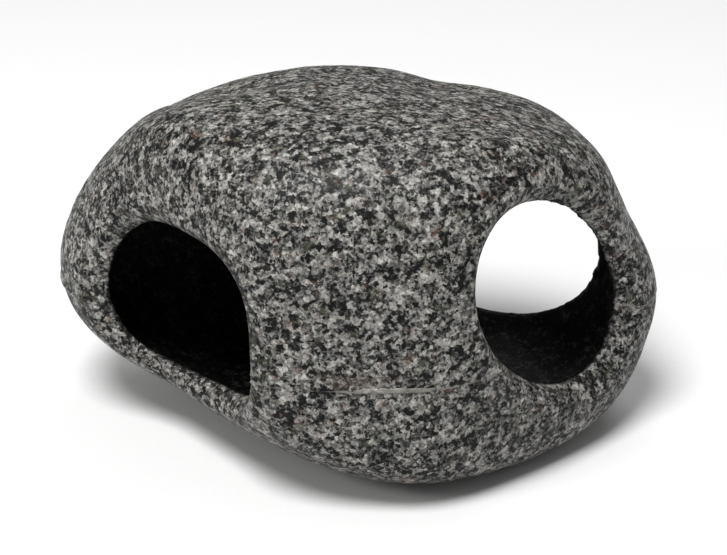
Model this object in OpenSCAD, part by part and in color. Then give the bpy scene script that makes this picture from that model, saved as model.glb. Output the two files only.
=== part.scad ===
// Hollow boulder ornament for an aquarium: two cast resin halves, an upper and a lower shell,
// are glued along a level seam. Three arched doorways lead into the one chamber.
// +X runs along the length, -Y is the front with the blunt nose, +Z is up,
// and the origin is on the ground under the middle of the boulder's box.

/* [Boulder] */
// Height of the crown above the boulder's middle
crown_rise = 74; // [70:1:80]
// Distance of the blunt front nose from the middle
nose_reach = 80; // [76:1:86]
// Distance of the flat front faces that hold the two front doorways
front_face_reach = 80; // [76:1:86]
// Distance of the back face from the middle
back_reach = 86; // [80:1:92]
// How far the left end swells out beyond its flats
left_swell = 16; // [8:1:20]
// How far the right end swells out beyond its flats
right_swell = 8; // [2:1:12]
// How crisp the ridges between the flats are
crispness = 12; // [8:1:16]

/* [Walls] */
// Thickness of the cast wall
wall = 10; // [8:0.5:13]
// Thickness of the floor of the lower shell
floor_t = 10; // [6:0.5:14]
// Radius of the rounded lip around each doorway
lip = 8; // [4:0.5:9]

/* [Doorways] */
// Width of the left front doorway
left_door_w = 85; // [70:1:90]
// Height of the left front doorway
left_door_h = 76; // [56:1:78]
// Long width of the right front doorway, along its slant
right_door_w = 98; // [80:1:102]
// Short width of the right front doorway, across its slant
right_door_h = 70; // [60:1:76]
// Width of the back doorway
back_door_w = 114; // [90:1:118]
// Height of the back doorway
back_door_h = 88; // [70:1:92]

/* [Seam] */
// Height of the seam above the ground
seam_z = 54; // [50:1:60]
// Depth of the tongue of the upper shell that drops inside the lower shell
tongue_h = 5; // [3:0.5:7]
// Height of the line of glue between the shells
glue_h = 0.8; // [0.5:0.1:1.5]
// How far the glue stands proud of the stone
glue_proud = 0.3; // [0.1:0.1:0.6]

/* [Hidden] */

middle = [7, -2, 68];          // the boulder's middle, which every distance is counted from
base_drop = middle.z + 0.6;    // the underside's flat, ground off level with z = 0
tongue_gap = 0.2;              // room between the tongue and the ledge it drops behind
step_a = 5;                    // degrees between the points of a skin
door_steps = 48;               // points round a doorway
roll_from = 20;                // angle at which a lip's roll starts from the stone's face
roll_step = 14;                // degrees between the rings of a lip's roll
outside = 60;                  // how far outside the boulder a doorway's cutter starts
through = wall + 12;           // depth inside the chamber at which a doorway's cutter ends
far = 300;                     // longer than anything in the boulder

// The roughly oval stone that the flats are worn into: half its length, depth and height
stone_half = [150, 115, 110];

// Worn flats: heading from +X towards +Y, slope above level, distance from the middle
flats = [
    [0, 90, crown_rise],
    [277, 5, nose_reach],
    [225, 0, front_face_reach],
    [323, 0, front_face_reach],
    [90, 5, back_reach],
    [50, 5, 106],
    [135, 5, 116],
    // shoulders that face the front and the crown's right slope
    [280, 42, 92],
    [245, 45, 98],
    [325, 50, 98],
    [20, 72, 81],
    // round the top, from the right end to the left end
    [5, 18, 107],
    [30, 45, 104],
    [75, 70, 83],
    [140, 67, 90],
    [165, 52, 106],
    [180, 30, 114],
    [195, 3, 126],
    // the undercut, from the left end round the front to the right end
    [210, -25, 108],
    [220, -40, 94],
    [230, -50, 80],
    [278, -60, 90],
    [325, -47, 112],
    [347, -23, 125],
    // the undercut at the back
    [90, -45, 90],
    [30, -40, 110],
    [150, -40, 110],
];

// Swellings and hollows: heading, slope, width in degrees, height above the flats
swellings = [
    [188, -4, 22, left_swell],
    [352, -16, 34, right_swell],
    [55, 58, 14, -3],
    [160, 47, 12, -5],
    // smaller ones, round the top and down both ends
    [128, 38, 10, -0.8],
    [72, 41, 9, -2],
    [38, 30, 10, 1.2],
    [14, 13, 8, -2.4],
    [12, -6, 8, 2.4],
    [171, 31, 7, 1.5],
    [180, -8, 12, 3],
    [195, -30, 8, -1.5],
    [230, -40, 20, 1.6],
];

// Doorways: heading and slope of the axis from the middle, the width and height of the throat,
// how square it is (2 is an oval), how far it leans, and how far out its size is measured
left_door = [218.5, -3, left_door_w, left_door_h, 3, 1, 85];
right_door = [336, 5, right_door_w, right_door_h, 2, -48, 85];
back_door = [59, -6, back_door_w, back_door_h, 2, -9, 98];
doors = [left_door, right_door, back_door];

// A unit vector at a heading and a slope
function unit(heading, slope) = [cos(heading) * cos(slope), sin(heading) * cos(slope), sin(slope)];

function total(values) = [for (v = values) 1] * values;

function angle_between(a, b) = acos(min(1, max(-1, a * b)));

// Distance to the flats and the oval stone, blended: the higher the power, the crisper the ridge
function worn_reach(d) =
    let (oval = norm([d.x / stone_half.x, d.y / stone_half.y, d.z / stone_half.z]))
    let (facing = [for (f = flats) pow(max(0, d * unit(f[0], f[1])) / f[2], crispness)])
    pow(pow(oval, crispness) + total(facing), -1 / crispness);

// Bell-shaped swellings, which fade with the angle from their own direction
function swell(d) =
    total([for (s = swellings) s[3] * exp(-pow(angle_between(d, unit(s[0], s[1])) / s[2], 2))]);

// Distance from the middle to the outside of the boulder
function reach(d) =
    let (body = worn_reach(d) + swell(d), under = max(0, -d.z) / base_drop)
    pow(pow(body, -crispness) + pow(under, crispness), -1 / crispness);

// One closed skin at a depth below the outside, a grid of headings and slopes with a point at each pole
module skin(depth) {
    headings = [0 : step_a : 360 - step_a];
    slopes = [-90 + step_a : step_a : 90 - step_a];
    across = 360 / step_a;
    rows = 180 / step_a - 1;
    ring_points = [for (s = slopes, h = headings) let (d = unit(h, s)) middle + d * (reach(d) - depth)];
    low_pole = middle + [0, 0, -1] * (reach([0, 0, -1]) - depth);
    high_pole = middle + [0, 0, 1] * (reach([0, 0, 1]) - depth);
    low = len(ring_points);
    sides = [for (r = [0 : rows - 2], c = [0 : across - 1])
        let (n = (c + 1) % across)
        each [
            [r * across + c, (r + 1) * across + c, (r + 1) * across + n],
            [r * across + c, (r + 1) * across + n, r * across + n],
        ]];
    under = [for (c = [0 : across - 1]) [low, c, (c + 1) % across]];
    last = (rows - 1) * across;
    over = [for (c = [0 : across - 1]) [low + 1, last + (c + 1) % across, last + c]];
    polyhedron(points = concat(ring_points, [low_pole, high_pole]), faces = concat(sides, under, over));
}

// Direction to the throat of a doorway at an angle round it, widened by grow: a rounded square
// (|x/a|^q + |y/b|^q = 1) drawn on the plane that faces the middle
function door_way(door, turn, grow) =
    let (axis = unit(door[0], door[1]), side = unit(door[0] + 90, 0), up = cross(axis, side))
    let (a = door[2] / 2 + grow, b = door[3] / 2 + grow, q = door[4])
    let (size = pow(pow(abs(cos(turn)) / a, q) + pow(abs(sin(turn)) / b, q), -1 / q))
    let (x = size * cos(turn), y = size * sin(turn))
    let (across = x * cos(door[5]) - y * sin(door[5]), along = x * sin(door[5]) + y * cos(door[5]))
    let (way = axis * door[6] + side * across + up * along)
    way / norm(way);

// One ring of a doorway's cutter: widened by grow, sunk a depth below the outside
function door_ring(door, grow, depth) = [
    for (k = [0 : door_steps - 1])
        let (d = door_way(door, 360 * k / door_steps, grow))
        middle + d * (reach(d) - depth)
];

// A closed sleeve through a row of rings, with a middle point at each end
module sleeve(rings, first_middle, last_middle) {
    n = door_steps;
    last = len(rings) - 1;
    points = concat([for (ring = rings, p = ring) p], [first_middle, last_middle]);
    walls = [for (r = [0 : last - 1], k = [0 : n - 1])
        let (a = r * n + k, b = r * n + (k + 1) % n)
        each [[a, b, b + n], [a, b + n, a + n]]];
    first_end = [for (k = [0 : n - 1]) [len(points) - 2, (k + 1) % n, k]];
    last_end = [for (k = [0 : n - 1]) [len(points) - 1, last * n + k, last * n + (k + 1) % n]];
    polyhedron(points = points, faces = concat(walls, first_end, last_end));
}

// A straight stretch of a cutter between two rings
module stretch(near, away) {
    hull() {
        sleeve([near, away], total(near) / door_steps, total(away) / door_steps);
    }
}

// Cutter for one doorway: a sleeve with the rolled lip and the throat, under a mouth in the open air.
// The roll starts a little steeper than the stone's face, which leaves a clean edge.
module doorway(door) {
    axis = unit(door[0], door[1]);
    roll = [for (a = [roll_from : roll_step : 90])
        [lip * (1 - sin(a)), lip * (cos(roll_from) - cos(a))]];
    flare = [roll[0][0] + lip, -lip * tan(roll_from)];
    rings = [for (p = concat([flare], roll, [[0, through]])) door_ring(door, p[0], p[1])];
    sleeve(rings, middle + axis * (reach(axis) + outside / 2), middle + axis * (reach(axis) - through));
    mouth = [for (part = [0.25 : 0.25 : 1]) door_ring(door, 0, -part * outside)];
    for (k = [0 : len(mouth) - 2]) stretch(mouth[k + 1], mouth[k]);
}

module doorways() {
    for (door = doors) doorway(door);
}

// Everything between two heights
module slab(low, high) {
    translate([-far, -far, low]) cube([2 * far, 2 * far, high - low]);
}

// The chamber, with its flat floor
module chamber() {
    intersection() {
        skin(wall);
        slab(floor_t, far);
    }
}

// The wall from the outside down to a depth, between two heights
module wall_band(from_depth, low, high) {
    intersection() {
        skin(from_depth);
        slab(low, high);
    }
}

module upper_shell() {
    color("dimgray") difference() {
        union() {
            wall_band(0, seam_z + glue_h / 2, far);
            wall_band(wall / 2 + tongue_gap, seam_z - tongue_h, seam_z + glue_h);
        }
        chamber();
        doorways();
    }
}

module lower_shell() {
    color("dimgray") difference() {
        wall_band(0, 0, seam_z - glue_h / 2);
        chamber();
        wall_band(wall / 2, seam_z - tongue_h, far);
        doorways();
    }
}

// The line of glue in the outer half of the wall, on one side of the boulder
module seam_glue(from_heading, to_heading) {
    color("gainsboro") difference() {
        intersection() {
            skin(-glue_proud);
            slab(seam_z - glue_h / 2, seam_z + glue_h / 2);
            translate([middle.x, middle.y, 0]) linear_extrude(far) polygon(concat(
                [[0, 0]],
                [for (k = [0 : 4])
                    let (h = from_heading + (to_heading - from_heading) * k / 4)
                    far * [cos(h), sin(h)]]
            ));
        }
        skin(wall / 2);
        doorways();
    }
}

// The three doorways part the glue into three runs
module seam_glue_nose() {
    seam_glue(left_door[0], right_door[0]);
}

module seam_glue_left_end() {
    seam_glue(back_door[0], left_door[0]);
}

module seam_glue_right_end() {
    seam_glue(right_door[0], back_door[0] + 360);
}

upper_shell();
lower_shell();
seam_glue_nose();
seam_glue_left_end();
seam_glue_right_end();
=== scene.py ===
import math

import bpy
import numpy as np
from mathutils import Matrix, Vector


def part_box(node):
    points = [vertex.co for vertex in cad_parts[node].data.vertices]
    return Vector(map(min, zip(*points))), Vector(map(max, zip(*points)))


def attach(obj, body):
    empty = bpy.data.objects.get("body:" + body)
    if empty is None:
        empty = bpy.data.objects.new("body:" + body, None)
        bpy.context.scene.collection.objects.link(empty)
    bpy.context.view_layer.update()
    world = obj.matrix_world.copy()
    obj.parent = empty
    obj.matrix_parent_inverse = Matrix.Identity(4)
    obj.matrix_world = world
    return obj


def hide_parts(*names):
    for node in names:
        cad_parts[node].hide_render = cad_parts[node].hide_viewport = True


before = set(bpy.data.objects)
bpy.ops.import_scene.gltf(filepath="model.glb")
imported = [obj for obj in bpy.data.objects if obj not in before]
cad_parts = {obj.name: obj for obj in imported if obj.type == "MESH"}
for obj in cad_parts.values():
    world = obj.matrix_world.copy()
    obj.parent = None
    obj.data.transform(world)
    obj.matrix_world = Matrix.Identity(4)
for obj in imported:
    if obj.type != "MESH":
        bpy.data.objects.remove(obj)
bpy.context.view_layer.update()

# A hollow river boulder in cast resin, finished as granite. Shapes are worked out in millimetres
# from the boulder's middle, as they are in the CAD, and become metres when a mesh is made.

mm = 0.001
seamLow, seamHigh = (corner.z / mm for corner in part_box("seam_glue_nose"))
seamMiddle = (seamLow + seamHigh) / 2

boulder = {
    "middle": (7, -2, 68),            # the point that every distance is counted from
    "half": (150, 115, 110),          # the roughly oval stone, before its flats are worn
    "crispness": 12,                  # how crisp the ridges between the flats are
    "baseDrop": 68.6,                 # from the middle down to the ground face
    "wall": 10,
    "floor": 10,
    "flats": [                        # heading, slope, distance from the middle
        (0, 90, 74), (277, 5, 80), (225, 0, 80), (323, 0, 80), (90, 5, 86), (50, 5, 106), (135, 5, 116),
        (280, 42, 92), (245, 45, 98), (325, 50, 98), (20, 72, 81), (5, 18, 107), (30, 45, 104),
        (75, 70, 83), (140, 67, 90), (165, 52, 106), (180, 30, 114), (195, 3, 126), (210, -25, 108),
        (220, -40, 94), (230, -50, 80), (278, -60, 90), (325, -47, 112), (347, -23, 125),
        (90, -45, 90), (30, -40, 110), (150, -40, 110),
    ],
    "swellings": [                    # heading, slope, width in degrees, height
        (188, -4, 22, 16), (352, -16, 34, 8), (55, 58, 14, -3), (160, 47, 12, -5), (128, 38, 10, -0.8),
        (72, 41, 9, -2), (38, 30, 10, 1.2), (14, 13, 8, -2.4), (12, -6, 8, 2.4), (171, 31, 7, 1.5),
        (180, -8, 12, 3), (195, -30, 8, -1.5), (230, -40, 20, 1.6),
    ],
    "gridStep": 1.0,                  # degrees between the points of a skin
    "voxel": 1.25,                    # size of the cells that even out the cut stone
    "evenings": 3,                    # smoothing passes after that
    "innerEvenings": 12,              # further passes in the inner part of the wall, off the ledge
}

doorways = {                          # each: heading and slope of its axis, width, height, squareness,
    "left": (218.5, -3, 85, 76, 3, 1, 85),     # lean, and how far out its size is measured
    "right": (336, 5, 98, 70, 2, -48, 85),
    "back": (59, -6, 114, 88, 2, -9, 98),
}
lip = {"radius": 8, "startAngle": 8, "rings": 9, "points": 160, "outside": 60, "pastWall": 12}

relief = {
    "rolling": 0.55,                  # height of the slow swells over the stone, and their size
    "rollingSize": 30,
    "dents": 0.30,                    # shallow dents between them
    "dentSize": 11,
    "pits": 0.10,                     # fine unevenness of the casting
    "pitSize": 3.6,
    "chamber": 0.7,                   # the chamber's wall is rougher
    "chamberSize": 14,
    "setBack": 0.35,                  # how far the lower half stands back under the seam
    "crest": 3.4,                     # height of the worn ridge over the right doorway
    "crestWidth": 6,                  # how fast it falls away, in degrees
    "crestEnds": ((308, 52), (350, 37)),    # heading and slope of the arc's two ends
}

glue = {
    "halfHeight": 1.25,               # of the bead, most of which fills the groove between the halves
    "thickness": 0.9,
    "proud": 0.16,                    # how far it stands out of the stone
    "depth": 4.4,                     # how far the film behind it reaches into the wall
    "film": 0.12,                     # half the film's thickness
    "step": 0.6,                      # degrees between its rings
    "wander": 0.22,                   # how much the bead's size varies
}


def unit(heading, slope):
    # unit vector at a heading from +X towards +Y and a slope above level, both in degrees
    h, s = np.radians(heading), np.radians(slope)
    h, s = np.broadcast_arrays(h, s)
    return np.stack([np.cos(h) * np.cos(s), np.sin(h) * np.cos(s), np.sin(s)], axis=-1)


def reach(d):
    # distance from the middle to the outside in direction d: the oval stone and every flat that
    # faces d are blended by a high power, bell-shaped swellings are added, and the ground cuts it off
    power = boulder["crispness"]
    total = np.linalg.norm(d / np.array(boulder["half"], float), axis=-1) ** power
    for heading, slope, distance in boulder["flats"]:
        total = total + (np.maximum(0, d @ unit(heading, slope)) / distance) ** power
    body = total ** (-1 / power)
    for heading, slope, width, height in boulder["swellings"]:
        angle = np.degrees(np.arccos(np.clip(d @ unit(heading, slope), -1, 1)))
        body = body + height * np.exp(-(angle / width) ** 2)
    under = np.maximum(0, -d[..., 2]) / boulder["baseDrop"]
    return (body ** -power + under ** power) ** (-1 / power)


middle = np.array(boulder["middle"], float)


def closedGrid(rings, first, last):
    # points and faces of a closed surface: rings of points one after another, with a point at each end
    count, around = rings.shape[:2]
    points = np.concatenate([rings.reshape(-1, 3), [first], [last]])
    row, col = np.meshgrid(np.arange(count - 1) * around, np.arange(around), indexing="ij")
    onward = (col + 1) % around
    sides = np.stack([row + col, row + onward, row + around + onward, row + around + col], -1).reshape(-1, 4)
    k = np.arange(around)
    low = np.stack([np.full(around, len(points) - 2), (k + 1) % around, k], -1)
    top = (count - 1) * around
    high = np.stack([np.full(around, len(points) - 1), top + k, top + (k + 1) % around], -1)
    return points, sides, np.concatenate([low, high])


def makeObject(name, points, quads, triangles):
    # a mesh object from points in millimetres and whole arrays of faces
    mesh = bpy.data.meshes.new(name)
    mesh.vertices.add(len(points))
    mesh.vertices.foreach_set("co", (points * mm).astype(np.float32).ravel())
    corners = np.concatenate([quads.ravel(), triangles.ravel()]).astype(np.int32)
    sizes = np.concatenate([np.full(len(quads), 4), np.full(len(triangles), 3)])
    starts = np.concatenate([[0], np.cumsum(sizes)[:-1]]).astype(np.int32)
    mesh.loops.add(len(corners))
    mesh.loops.foreach_set("vertex_index", corners)
    mesh.polygons.add(len(sizes))
    mesh.polygons.foreach_set("loop_start", starts)
    mesh.update(calc_edges=True)
    mesh.validate()
    made = bpy.data.objects.new(name, mesh)
    bpy.context.scene.collection.objects.link(made)
    return made


def skin(name, depth, step):
    # the boulder's outside, sunk by a depth: a grid of headings and slopes, with a pole at each end
    headings = np.arange(0, 360, step)
    slopes = np.arange(-90 + step, 90 - step / 2, step)
    d = unit(headings[None, :], slopes[:, None])
    rings = middle + d * (reach(d) - depth)[..., None]
    poles = [middle + p * (reach(p) - depth) for p in (np.array([0, 0, -1.0]), np.array([0, 0, 1.0]))]
    return makeObject(name, *closedGrid(rings, *poles))


def slab(name, low, high):
    # everything between two heights, as a block wider than the boulder
    wide = 400
    corners = np.array([[-wide, -wide], [wide, -wide], [wide, wide], [-wide, wide]], float)
    rings = np.stack([np.c_[corners, np.full(4, z)] for z in (low, high)])
    return makeObject(name, *closedGrid(rings, np.array([0, 0, low]), np.array([0, 0, high])))


def doorwayWay(door, turn, grow):
    # direction to a doorway's edge at an angle round it, widened by grow: a rounded square
    # (|x/a|^q + |y/b|^q = 1) that leans, drawn on the plane that faces the middle
    heading, slope, width, height, square, lean, out = door
    axis, side = unit(heading, slope), unit(heading + 90, 0)
    up = np.cross(axis, side)
    a, b = width / 2 + grow, height / 2 + grow
    size = (np.abs(np.cos(turn) / a) ** square + np.abs(np.sin(turn) / b) ** square) ** (-1 / square)
    x, y = size * np.cos(turn), size * np.sin(turn)
    t = math.radians(lean)
    across, along = x * math.cos(t) - y * math.sin(t), x * math.sin(t) + y * math.cos(t)
    way = axis * out + across[..., None] * side + along[..., None] * up
    return way / np.linalg.norm(way, axis=-1, keepdims=True)


def sleeve(name, door):
    # cutter for one doorway: wide in the open air, rolled over the lip in a quarter circle,
    # then straight through the wall
    radius = lip["radius"]
    start = math.radians(lip["startAngle"])
    angles = np.linspace(start, math.pi / 2, lip["rings"])
    grow = radius * (1 - np.sin(angles))
    depth = radius * (math.cos(start) - np.cos(angles))
    grow = np.concatenate([[grow[0] + radius], grow, [0]])
    depth = np.concatenate([[-radius * math.tan(start) - 1], depth, [boulder["wall"] + lip["pastWall"]]])
    turns = np.linspace(0, 2 * math.pi, lip["points"], endpoint=False)
    d = doorwayWay(door, turns[None, :], grow[:, None])
    rings = middle + d * (reach(d) - depth[:, None])[..., None]
    axis = unit(door[0], door[1])
    outer = middle + axis * (reach(axis) + lip["outside"])
    inner = middle + axis * (reach(axis) - depth[-1])
    return makeObject(name, *closedGrid(rings[::-1], inner, outer))


def combine(base, operation, others):
    # base with the others cut out, kept in common or joined on, as a new mesh
    for other in others:
        step = base.modifiers.new(operation, "BOOLEAN")
        step.operation = operation
        step.solver = "MANIFOLD"
        step.object = other
    settle(base)
    return base


def settle(piece):
    # makes the result of a piece's modifiers its mesh
    bpy.context.view_layer.update()
    graph = bpy.context.evaluated_depsgraph_get()
    mesh = bpy.data.meshes.new_from_object(piece.evaluated_get(graph))
    piece.modifiers.clear()
    old, piece.data = piece.data, mesh
    bpy.data.meshes.remove(old)
    mesh.name = piece.name


def discard(*pieces):
    for piece in pieces:
        mesh = piece.data
        bpy.data.objects.remove(piece)
        bpy.data.meshes.remove(mesh)


print("cutting the two halves")
cutters = [sleeve("sleeve_" + side, door) for side, door in doorways.items()]
step = boulder["gridStep"]
high = 300                            # above everything in the boulder
joint = {
    "tongueDrop": 5,                  # how far the upper half's tongue reaches below the seam
    "tongueGap": 0.2,                 # room between the tongue and the lower half
    "halfGap": 0.15,                  # the halves are pressed together, so little glue stays between
    "pressed": 0.5,                   # the tongue stands in the glue on the ledge
    "overlap": 0.6,                   # how far the tongue's band runs up into the upper half
}
ledge = seamMiddle - joint["tongueDrop"]

upper = skin("upper_stone", 0, step)
aboveSeam = slab("above_seam", seamMiddle + joint["halfGap"], high)
combine(upper, "INTERSECT", [aboveSeam])
tongue = skin("tongue", boulder["wall"] / 2 + joint["tongueGap"], step)
tongueBand = slab("tongue_band", ledge - joint["pressed"], seamHigh + joint["overlap"])
combine(tongue, "INTERSECT", [tongueBand])
combine(upper, "UNION", [tongue])
chamber = skin("chamber", boulder["wall"], step)
combine(upper, "DIFFERENCE", [chamber] + cutters)

lower = skin("lower_stone", 0, step)
belowSeam = slab("below_seam", 0, seamMiddle - joint["halfGap"])
combine(lower, "INTERSECT", [belowSeam])
recess = skin("recess", boulder["wall"] / 2, step)
recessBand = slab("recess_band", ledge, high)
combine(recess, "INTERSECT", [recessBand])
aboveFloor = slab("above_floor", boulder["floor"], high)
combine(chamber, "INTERSECT", [aboveFloor])
combine(lower, "DIFFERENCE", [recess, chamber] + cutters)
discard(aboveSeam, tongue, tongueBand, chamber, belowSeam, recess, recessBand, aboveFloor, *cutters)


def readPoints(mesh):
    # a mesh's points in millimetres, and for each its direction, distance and depth below the outside
    places = np.empty(len(mesh.vertices) * 3, np.float32)
    mesh.vertices.foreach_get("co", places)
    points = places.reshape(-1, 3).astype(float) / mm
    away = points - middle
    far = np.linalg.norm(away, axis=-1)
    d = away / far[:, None]
    return points, d, far, reach(d) - far


def evenOut(piece):
    # gives the cut stone one even mesh and takes the sharpness off its edges, most of all off the
    # thin ones inside
    remesh = piece.modifiers.new("even", "REMESH")
    remesh.mode = "VOXEL"
    remesh.voxel_size = boulder["voxel"] * mm
    remesh.use_smooth_shade = True
    smooth = piece.modifiers.new("soft", "SMOOTH")
    smooth.factor = 0.5
    smooth.iterations = boulder["evenings"]
    settle(piece)
    points, d, far, depth = readPoints(piece.data)
    deep = np.flatnonzero((depth > 6.5) & (np.abs(points[:, 2] - ledge) > 6))
    piece.vertex_groups.new(name="inner").add(deep.tolist(), 1, "REPLACE")
    smooth = piece.modifiers.new("softer", "SMOOTH")
    smooth.factor = 0.5
    smooth.iterations = boulder["innerEvenings"]
    smooth.vertex_group = "inner"
    settle(piece)
    piece.vertex_groups.clear()


print("evening out the meshes")
evenOut(upper)
evenOut(lower)
for piece in (upper, lower):
    print(piece.name, len(piece.data.vertices), "points", len(piece.data.polygons), "faces")


def noise(points, size, seed):
    # smooth noise from -1 to 1: random numbers at the corners of cubes of this size, eased between
    # them, in two layers, of which the second is half as large and turned
    table = np.random.default_rng(seed).uniform(-1, 1, (32, 32, 32))
    turned = points @ np.array([[0.36, 0.48, -0.8], [-0.8, 0.6, 0], [0.48, 0.64, 0.6]])
    total = 0
    for place, share in ((points / size, 1.0), (turned * 2.1 / size, 0.45)):
        cell = np.floor(place).astype(int)
        part = place - cell
        part = part * part * (3 - 2 * part)
        for corner in np.ndindex(2, 2, 2):
            weight = np.where(np.array(corner) == 1, part, 1 - part).prod(axis=-1)
            index = (cell + corner) % 32
            total = total + share * weight * table[index[:, 0], index[:, 1], index[:, 2]]
    return total


def eased(value, low, high):
    # 0 below low, 1 above high, and a smooth rise between
    t = np.clip((value - low) / (high - low), 0, 1)
    return t * t * (3 - 2 * t)


def doorwayDistance(door, d):
    # how far a direction lies outside a doorway's edge, in millimetres on the plane that faces the
    # middle, measured along the line to the doorway's axis
    heading, slope, width, height, square, lean, out = door
    axis, side = unit(heading, slope), unit(heading + 90, 0)
    up = np.cross(axis, side)
    ahead = np.maximum(d @ axis, 1e-3)
    across, along = d @ side / ahead * out, d @ up / ahead * out
    t = math.radians(lean)
    x, y = across * math.cos(t) + along * math.sin(t), along * math.cos(t) - across * math.sin(t)
    size = (np.abs(x / (width / 2)) ** square + np.abs(y / (height / 2)) ** square) ** (1 / square)
    distance = np.hypot(x, y) * (1 - 1 / np.maximum(size, 1e-6))
    return np.where(d @ axis > 0.05, distance, out)


def crest(d):
    # a worn ridge along the arc between two directions: its height falls off exponentially with the
    # angle to the arc, which leaves it sharp on top, and it fades towards both ends
    start, end = (unit(*way) for way in relief["crestEnds"])
    across = np.cross(start, end)
    off = np.degrees(np.arcsin(d @ (across / np.linalg.norm(across))))
    centre = (start + end) / np.linalg.norm(start + end)
    along = np.degrees(np.arccos(np.clip(d @ centre, -1, 1)))
    span = np.degrees(np.arccos(start @ end))
    fade = 1 - eased(along, 0.2 * span, 0.7 * span)
    return relief["crest"] * np.exp(-np.abs(off) / relief["crestWidth"]) * fade


def weather(piece, setBack):
    # moves each point along the line from the middle: slow swells, shallow dents and fine pits outside,
    # and a rougher chamber wall. It also stores how deep in the wall a point lies, from 0 to 1.
    mesh = piece.data
    points, d, far, depth = readPoints(mesh)
    outer = 1 - eased(depth, 1, 6)
    clear = np.minimum.reduce([doorwayDistance(door, d) for door in doorways.values()])
    inner = eased(depth, 6, 9.5) * eased(clear, 2, 10)
    # the cut edges along the seam, which evening out has rounded, are drawn back to the skin
    nearSeam = 1 - eased(np.abs(points[:, 2] - seamMiddle), 1.0, 2.2)
    sharpen = np.where(depth < 1.6, depth, 0) * nearSeam
    short = np.clip(boulder["wall"] - depth, 0, None)       # and inside, along the ledge
    nearLedge = 1 - eased(np.abs(points[:, 2] - ledge), 1.0, 2.2)
    sharpen = sharpen - np.where(short < 1.6, short, 0) * nearLedge
    dents = np.maximum(0, noise(points, relief["dentSize"], 2) - 0.2)
    rise = relief["rolling"] * noise(points, relief["rollingSize"], 1) - relief["dents"] * dents
    rise = rise + relief["pits"] * noise(points, relief["pitSize"], 3) + crest(d)
    rough = relief["chamber"] * noise(points, relief["chamberSize"], 4)
    back = setBack * np.exp(-np.maximum(0, seamLow - points[:, 2]) / 5)
    grounded = eased(points[:, 2], 0.5, 4)
    change = (outer * (rise - back) + inner * rough) * grounded + sharpen
    moved = middle + d * (far + change)[:, None]
    mesh.vertices.foreach_set("co", (moved * mm).astype(np.float32).ravel())
    stored = mesh.attributes.new("depth", "FLOAT", "POINT")
    stored.data.foreach_set("value", np.clip(depth / boulder["wall"], 0, 1).astype(np.float32))
    mesh.update()


print("weathering the stone")
weather(upper, 0)
weather(lower, relief["setBack"])


def seamWays(headings, height):
    # directions from the middle to the outside at a height, found by a few corrections of the slope
    slope = np.zeros_like(headings)
    for _ in range(8):
        slope = np.degrees(np.arcsin((height - middle[2]) / reach(unit(headings, slope))))
    return unit(headings, slope)


def glueRun(name, fromHeading, toHeading, shows):
    # one run of glue: a thin film between the halves with a flat oval bead at its outer edge, carried
    # along the seam from one doorway to the next, where it rolls inwards with the lip; "shows" tells
    # the finish how pale the bead is
    headings = np.arange(fromHeading, toHeading, glue["step"])
    d = seamWays(headings, seamMiddle)
    clear = np.minimum.reduce([doorwayDistance(door, d) for door in doorways.values()])
    d, clear = d[clear > 0.6], clear[clear > 0.6]
    radius = lip["radius"]
    rolled = np.clip(1 - clear / radius, 0, 1)
    sunk = radius * (1 - np.sqrt(1 - rolled ** 2))
    path = middle + d * (reach(d) - sunk)[:, None]
    path[:, 2] = seamMiddle
    onward = np.gradient(path, axis=0)
    onward = onward / np.linalg.norm(onward, axis=-1, keepdims=True)
    outwards = np.cross(onward, np.array([0, 0, 1.0]))
    size = 1 + glue["wander"] * noise(path, 2.5, 7)
    turns = np.radians(np.arange(-150, 151, 25))            # round the bead, open towards the film
    proud = glue["proud"] * (1 - rolled) * size
    out = (np.cos(turns)[None, :] - 1) * glue["thickness"] + proud[:, None]
    lift = np.sin(turns)[None, :] * glue["halfHeight"] * size[:, None]
    film = np.full((len(path), 2), -glue["depth"])
    filmLift = np.tile([glue["film"], -glue["film"]], (len(path), 1))
    out, lift = np.concatenate([out, film], 1), np.concatenate([lift, filmLift], 1)
    rings = path[:, None, :] + out[..., None] * outwards[:, None, :] + lift[..., None] * np.array([0, 0, 1.0])
    made = makeObject(name, *closedGrid(rings, rings[0].mean(0), rings[-1].mean(0)))
    stored = made.data.attributes.new("shows", "FLOAT", "POINT")
    stored.data.foreach_set("value", np.full(len(made.data.vertices), shows, np.float32))
    return made


print("running the glue")
doorHeading = {side: door[0] for side, door in doorways.items()}
glueRuns = {
    "seam_glue_nose": (doorHeading["left"], doorHeading["right"], 0.85),
    "seam_glue_left_end": (doorHeading["back"], doorHeading["left"], 0.1),
    "seam_glue_right_end": (doorHeading["right"], doorHeading["back"] + 360, 0.1),
}
beads = {node: glueRun(node + "_bead", *run) for node, run in glueRuns.items()}


class Wire:
    # a socket of a material: + - * / on it add Math nodes
    def __init__(self, finish, socket):
        self.finish = finish
        self.socket = socket

    def maths(self, operation, *others, first=None):
        inputs = [self, *others] if first is None else [first, self]
        return self.finish.node("ShaderNodeMath", {"operation": operation}, inputs)

    def __add__(self, other):
        return self.maths("ADD", other)

    def __radd__(self, other):
        return self.maths("ADD", other)

    def __sub__(self, other):
        return self.maths("SUBTRACT", other)

    def __rsub__(self, other):
        return self.maths("SUBTRACT", first=other)

    def __mul__(self, other):
        return self.maths("MULTIPLY", other)

    def __rmul__(self, other):
        return self.maths("MULTIPLY", other)

    def __truediv__(self, other):
        return self.maths("DIVIDE", other)


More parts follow.
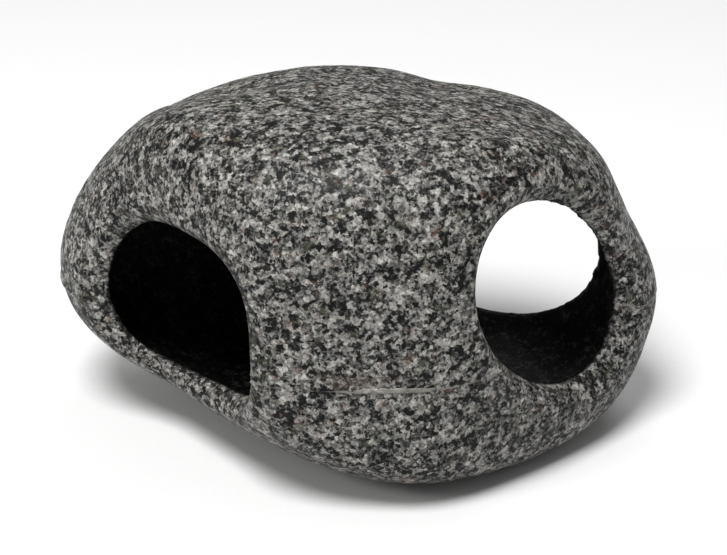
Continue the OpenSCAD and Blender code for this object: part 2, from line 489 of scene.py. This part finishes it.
class Finish:
    # one material; node() adds any node, its settings first and then its sockets
    def __init__(self, name):
        self.material = bpy.data.materials.new(name)
        self.material.use_nodes = True
        self.tree = self.material.node_tree
        self.tree.nodes.clear()

    def node(self, kind, settings=None, inputs=None, output=0):
        made = self.tree.nodes.new(kind)
        for name, value in (settings or {}).items():
            if name == "stops":
                self.setStops(made.color_ramp.elements, value)
            else:
                setattr(made, name, value)
        pairs = inputs.items() if isinstance(inputs, dict) else enumerate(inputs or [])
        for key, value in pairs:
            socket = self.find(made.inputs, key)
            if isinstance(value, Wire):
                self.tree.links.new(value.socket, socket)
            else:
                socket.default_value = value
        return Wire(self, self.find(made.outputs, output)) if made.outputs else None

    def find(self, sockets, key):
        # by number, by identifier where several share a name, or by name
        if isinstance(key, int):
            return sockets[key]
        return next((s for s in sockets if s.identifier == key), None) or sockets[key]

    def setStops(self, elements, stops):
        while len(elements) < len(stops):
            elements.new(1)
        for element, (place, colour) in zip(elements, stops):
            element.position = place
            element.color = colour if len(colour) == 4 else (*colour, 1)

    def grey(self, wire, low, high):
        # 0 to 1, smoothly, as a value goes from low to high
        return self.node("ShaderNodeMapRange", {"interpolation_type": "SMOOTHSTEP"},
                         {"Value": wire, "From Min": low, "From Max": high})

    def blend(self, factor, a, b, kind="MIX"):
        return self.node("ShaderNodeMix", {"data_type": "RGBA", "blend_type": kind},
                         {"Factor_Float": factor, "A_Color": a, "B_Color": b}, "Result_Color")


granite = {
    "cellSmall": 0.0013,              # sizes of the grains, in metres
    "cellLarge": 0.0026,
    "mottle": 0.0055,                 # size of the lighter and darker areas
    "warp": 0.0009,                   # how ragged the grains' edges are
    "tones": [                        # grey of the grains, from the darkest to the lightest
        (0.18, (0.002, 0.002, 0.002)), (0.36, (0.004, 0.004, 0.004)), (0.43, (0.022, 0.022, 0.021)),
        (0.52, (0.082, 0.080, 0.076)), (0.62, (0.165, 0.161, 0.151)), (0.72, (0.260, 0.254, 0.237)),
        (0.88, (0.430, 0.420, 0.390)),
    ],
    "rose": (0.300, 0.205, 0.200, 1),
    "olive": (0.100, 0.106, 0.066, 1),
    "rust": (0.110, 0.058, 0.034, 1),
    "stain": (0.088, 0.060, 0.042, 1),
    "stainPlace": (0.013, -0.080, 0.058),    # a brownish stain over the seam at the nose
    "stainSize": (0.016, 0.010, 0.0045),
    "roughness": (0.42, 0.60),
    "specular": 0.12,
    "coat": 0.03,
    "grainBump": 0.35,
    # painted shade in the chamber: near-black, with faint grey specks
    "chamberShade": (0.003, 0.003, 0.003, 1),
    "chamberShadeSpeck": (0.040, 0.040, 0.037, 1),
}


def graniteColour(f, place):
    # grains of two sizes with ragged edges, over lighter and darker areas; also returns the height of
    # the grains and the areas
    ragged = f.node("ShaderNodeTexNoise", None, {"Vector": place, "Scale": 780, "Detail": 1}, "Color")
    shift = f.node("ShaderNodeVectorMath", {"operation": "SUBTRACT"}, [ragged, (0.5, 0.5, 0.5)])
    shift = f.node("ShaderNodeVectorMath", {"operation": "SCALE"}, {0: shift, "Scale": 2 * granite["warp"]})
    warped = f.node("ShaderNodeVectorMath", {"operation": "ADD"}, [place, shift])

    def cells(size):
        colour = f.node("ShaderNodeTexVoronoi", None, {"Vector": warped, "Scale": 1 / size}, "Color")
        return f.node("ShaderNodeSeparateColor", None, [colour], "Red")

    small, large = cells(granite["cellSmall"]), cells(granite["cellLarge"])
    mottle = f.node("ShaderNodeTexNoise", None,
                    {"Vector": place, "Scale": 1 / granite["mottle"], "Detail": 4, "Roughness": 0.62}, "Fac")
    fine = f.node("ShaderNodeTexNoise", None,
                  {"Vector": warped, "Scale": 900, "Detail": 2, "Roughness": 0.6}, "Fac")
    tone = small * 0.34 + large * 0.28 + (mottle - 0.5) * 0.55 + (fine - 0.5) * 0.62 + 0.19
    colour = f.node("ShaderNodeValToRGB", {"stops": granite["tones"]}, [tone], "Color")

    hue = f.node("ShaderNodeTexNoise", None, {"Vector": place, "Scale": 210, "Detail": 2}, "Color")
    hueRed, hueGreen, hueBlue = (f.node("ShaderNodeSeparateColor", None, [hue], channel)
                                 for channel in ("Red", "Green", "Blue"))
    colour = f.blend(f.grey(hueRed, 0.58, 0.74) * 0.55, colour, granite["rose"], "SOFT_LIGHT")
    colour = f.blend(f.grey(hueGreen, 0.60, 0.74) * 0.40, colour, granite["olive"])
    colour = f.blend(f.grey(hueBlue, 0.64, 0.74) * 0.45, colour, granite["rust"])

    away = f.node("ShaderNodeVectorMath", {"operation": "SUBTRACT"}, [place, granite["stainPlace"]])
    away = f.node("ShaderNodeVectorMath", {"operation": "DIVIDE"}, [away, granite["stainSize"]])
    apart = f.node("ShaderNodeVectorMath", {"operation": "LENGTH"}, [away], "Value")
    stain = 1 - f.grey(apart + (hueRed - 0.5) * 2, 0.2, 1.2)
    colour = f.blend(stain * 0.38, colour, granite["stain"])
    return colour, tone, mottle


def graniteFinish():
    # speckled granite print under a thin clear coat, turning to painted shade, near-black with faint specks,
    # deep in the chamber wall
    f = Finish("granite_resin")
    place = f.node("ShaderNodeTexCoord", output="Object")
    colour, tone, mottle = graniteColour(f, place)
    depth = f.node("ShaderNodeAttribute", {"attribute_name": "depth"}, output="Fac")
    # painted shade: the colour turns near-black with depth into the wall, raggedly by the mottle
    inside = f.grey(depth + (mottle - 0.5) * 0.25, 0.72, 0.98)
    chamberShadeColour = f.blend(f.grey(tone, 0.55, 0.8), granite["chamberShade"], granite["chamberShadeSpeck"])
    colour = f.blend(inside, colour, chamberShadeColour)
    roughLow, roughHigh = granite["roughness"]
    rough = roughHigh - f.grey(tone, 0.3, 0.7) * (roughHigh - roughLow)
    grains = f.node("ShaderNodeBump", None,
                    {"Strength": granite["grainBump"], "Distance": 0.0002, "Height": tone}, "Normal")
    resin = f.node("ShaderNodeBsdfPrincipled", None, {
        "Base Color": colour, "Roughness": rough, "Normal": grains, "IOR": 1.5,
        "Specular IOR Level": granite["specular"],
        "Coat Weight": (1 - inside) * granite["coat"], "Coat Roughness": 0.25,
    })
    f.node("ShaderNodeOutputMaterial", None, {"Surface": resin})
    return f.material


def glueFinish():
    # cured clear glue that shows the granite through, paler in cloudy patches by each run's shows value, most
    # on the nose run
    f = Finish("clear_glue")
    place = f.node("ShaderNodeTexCoord", output="Object")
    colour = graniteColour(f, place)[0]
    shows = f.node("ShaderNodeAttribute", {"attribute_name": "shows"}, output="Fac")
    cloudy = f.node("ShaderNodeTexNoise", None, {"Vector": place, "Scale": 190, "Detail": 3}, "Fac")
    pale = f.grey(cloudy, 0.3, 0.6) * shows
    colour = f.blend(pale, colour, (0.200, 0.192, 0.172, 1))
    lumps = f.node("ShaderNodeBump", None, {"Strength": 0.3, "Distance": 0.0002, "Height": cloudy}, "Normal")
    glossy = f.node("ShaderNodeBsdfPrincipled", None, {
        "Base Color": colour, "Roughness": 0.45, "Normal": lumps, "IOR": 1.5,
        "Specular IOR Level": 0.35,
    })
    f.node("ShaderNodeOutputMaterial", None, {"Surface": glossy})
    return f.material


print("finishing the pieces")
graniteResin, clearGlue = graniteFinish(), glueFinish()


def place(piece, node, material, slot):
    # puts a piece in the frame in the place of a CAD node, with its finish
    piece.data.materials.clear()
    piece.data.materials.append(material)
    piece.data.polygons.foreach_set("use_smooth", np.ones(len(piece.data.polygons), bool))
    piece.data.polygons.foreach_set("material_index", np.zeros(len(piece.data.polygons), np.int32))
    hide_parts(node)
    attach(piece, "root")


place(upper, "upper_shell", graniteResin, "granite_resin")
place(lower, "lower_shell", graniteResin, "granite_resin")
for node, bead in beads.items():
    place(bead, node, clearGlue, "clear_glue")


studio = {
    "azimuth": 8, "elevation": 24, "distance": 0.80, "lens": 100,
    "target": (0.007, -0.008, 0.066),
    "floorRadius": 4.0, "world": 0.27,
    "paper": ((0.72, 0.72, 0.72, 1), (0.76, 0.76, 0.76, 1)),
    # each lamp: azimuth and elevation from the boulder, distance, width, power, colour
    "lamps": {
        "key": (-16, 64, 2.4, 1.0, 68, (1, 1, 1)),
        "front": (-50, 30, 2.0, 0.5, 9, (1, 1, 0.98)),
        "back": (160, 60, 2.4, 1.4, 14, (1, 1, 1)),
    },
}


def bearing(azimuth, elevation):
    # direction from the boulder to a camera or lamp; azimuth 0 is the front, 90 the right
    a, e = math.radians(azimuth), math.radians(elevation)
    return np.array([math.sin(a) * math.cos(e), -math.cos(a) * math.cos(e), math.sin(e)])


def aimed(thing, azimuth, elevation, distance):
    # puts a camera or lamp round the target, looking at it
    away = bearing(azimuth, elevation)
    right = np.array([-away[1], away[0], 0]) / math.hypot(away[0], away[1])
    up = np.cross(away, right)
    spot = np.array(studio["target"]) + away * distance
    turned = np.eye(4)
    turned[:3] = np.stack([right, up, away, spot], axis=1)
    thing.matrix_world = Matrix(turned.tolist())
    bpy.context.scene.collection.objects.link(thing)
    return thing


print("setting up the studio")
cameraData = bpy.data.cameras.new("camera")
cameraData.lens = studio["lens"]
camera = aimed(bpy.data.objects.new("camera", cameraData),
               studio["azimuth"], studio["elevation"], studio["distance"])
bpy.context.scene.camera = camera

for name, (azimuth, elevation, distance, width, power, colour) in studio["lamps"].items():
    lampData = bpy.data.lights.new(name, "AREA")
    lampData.shape = "DISK"
    lampData.size = width
    lampData.energy = power
    lampData.color = colour
    aimed(bpy.data.objects.new(name, lampData), azimuth, elevation, distance)

turns = np.linspace(0, 2 * math.pi, 64, endpoint=False)
rims = ((0.125, -0.0005), (0.5, -0.0005), (1, -0.0005), (1, -0.02))    # share of the radius, height
disc = np.stack([np.c_[share * np.cos(turns), share * np.sin(turns), np.full(64, z / studio["floorRadius"])]
                 for share, z in rims]) * studio["floorRadius"] / mm
floor = makeObject("floor", *closedGrid(disc[::-1], np.array([0, 0, -20.0]), np.array([0, 0, -0.5])))
paper = Finish("floor_paper")
paperPlace = paper.node("ShaderNodeTexCoord", output="Object")
grain = paper.node("ShaderNodeTexNoise", None, {"Vector": paperPlace, "Scale": 900, "Detail": 2}, "Fac")
pale = paper.blend(grain, *studio["paper"])
paper.node("ShaderNodeOutputMaterial", None, {"Surface": paper.node(
    "ShaderNodeBsdfPrincipled", None, {"Base Color": pale, "Roughness": 0.9})})
floor.data.materials.append(paper.material)

world = bpy.data.worlds.new("studio")
bpy.context.scene.world = world
world.use_nodes = True
world.node_tree.nodes["Background"].inputs["Color"].default_value = (1, 1, 1, 1)
world.node_tree.nodes["Background"].inputs["Strength"].default_value = studio["world"]
bpy.context.scene.view_settings.view_transform = "Standard"
